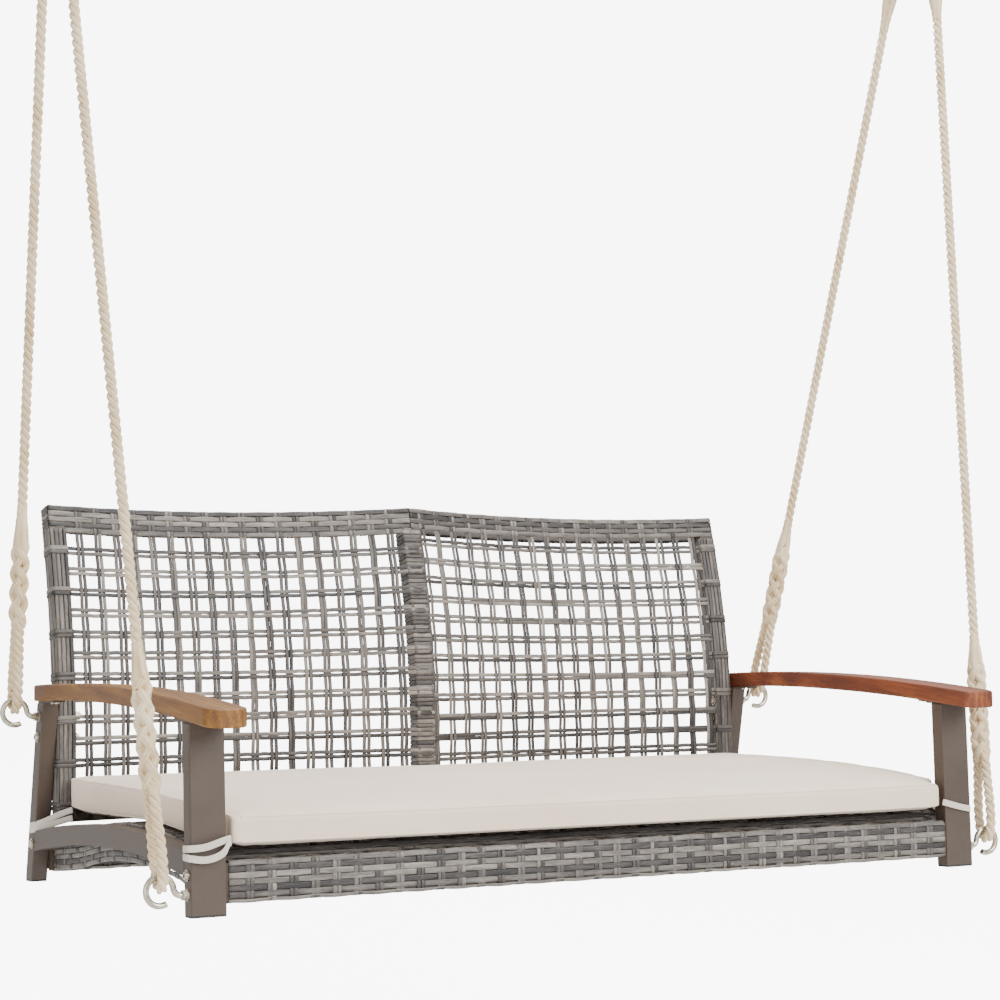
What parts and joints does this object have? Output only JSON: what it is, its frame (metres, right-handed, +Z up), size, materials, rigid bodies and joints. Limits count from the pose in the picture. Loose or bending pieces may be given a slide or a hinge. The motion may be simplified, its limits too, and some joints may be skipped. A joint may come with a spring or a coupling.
{
  "type": "porch swing seat",
  "caption": "Hanging bench with a woven curved back, arched wooden armrests, a seat cushion and rope hangers on steel hooks.",
  "frame": {"origin": "middle of the swing axis, half way between the bars of the two hanging rings", "axes": "+X to the right across the seat along the swing axis, -Y to the front, +Z up with the seat hanging at rest"},
  "size_m": [1.61, 0.825, 1.8041],
  "materials": {
    "frame_paint": "matt powder coat",
    "wicker": "streaked synthetic wicker, satin",
    "armrest_wood": "oiled hardwood, satin",
    "cushion_fabric": "woven polyester, matt",
    "cushion_foam": "open-cell foam",
    "tie_tape": "flat woven tape, matt",
    "rope": "twisted three-strand rope",
    "zinc_steel": "bright zinc plating",
    "cap_plastic": "moulded, matt"
  },
  "bodies": {
    "hangers": {"hanger_ring_left": "zinc_steel", "hanger_ring_right": "zinc_steel"},
    "swing": {"arm_plates_front": "frame_paint", "arm_plates_rear": "frame_paint", "arm_screws": "zinc_steel", "armrest_left": "armrest_wood", "armrest_right": "armrest_wood", "back_bolt_nuts": "zinc_steel", "back_bolts": "zinc_steel", "back_low_rail": "frame_paint", "back_middle_post": "frame_paint", "back_middle_wrap": "wicker", "back_stile_left": "frame_paint", "back_stile_right": "frame_paint", "back_stile_wrap_left": "wicker", "back_stile_wrap_right": "wicker", "back_top_rail": "frame_paint", "back_top_wrap": "wicker", "back_weave_left": "wicker", "back_weave_right": "wicker", "bolt_washers": "zinc_steel", "cushion_cover": "cushion_fabric", "cushion_foam": "cushion_foam", "cushion_ties_front": "tie_tape", "cushion_ties_rear": "tie_tape", "eye_splices_lower_left": "rope", "eye_splices_lower_right": "rope", "eye_splices_upper_left": "rope", "eye_splices_upper_right": "rope", "front_apron_weave": "wicker", "front_bar_inserts": "frame_paint", "front_leg_left": "frame_paint", "front_leg_right": "frame_paint", "hook_bolt_front_left": "zinc_steel", "hook_bolt_front_right": "zinc_steel", "hook_bolt_rear_left": "zinc_steel", "hook_bolt_rear_right": "zinc_steel", "hook_lock_nuts": "zinc_steel", "hook_nuts": "zinc_steel", "hook_washers": "zinc_steel", "leg_caps": "cap_plastic", "rear_apron_weave": "wicker", "rear_bar_inserts": "frame_paint", "rear_leg_left": "frame_paint", "rear_leg_right": "frame_paint", "rope_front_left": "rope", "rope_front_right": "rope", "rope_rear_left": "rope", "rope_rear_right": "rope", "seat_bolts": "zinc_steel", "seat_deck_weave": "wicker", "seat_front_bar": "frame_paint", "seat_rear_bar": "frame_paint", "seat_side_bar_left": "frame_paint", "seat_side_bar_right": "frame_paint", "seat_support_bars": "frame_paint", "side_apron_weave_left": "wicker", "side_apron_weave_right": "wicker", "side_rail_left": "frame_paint", "side_rail_right": "frame_paint"}
  },
  "joints": [
    {"name": "swing_axis", "type": "hinge", "parent": "hangers", "child": "swing", "pos_m": [0, 0, 0], "axis": [1, 0, 0], "range_deg": [-22, 22]}
  ]
}
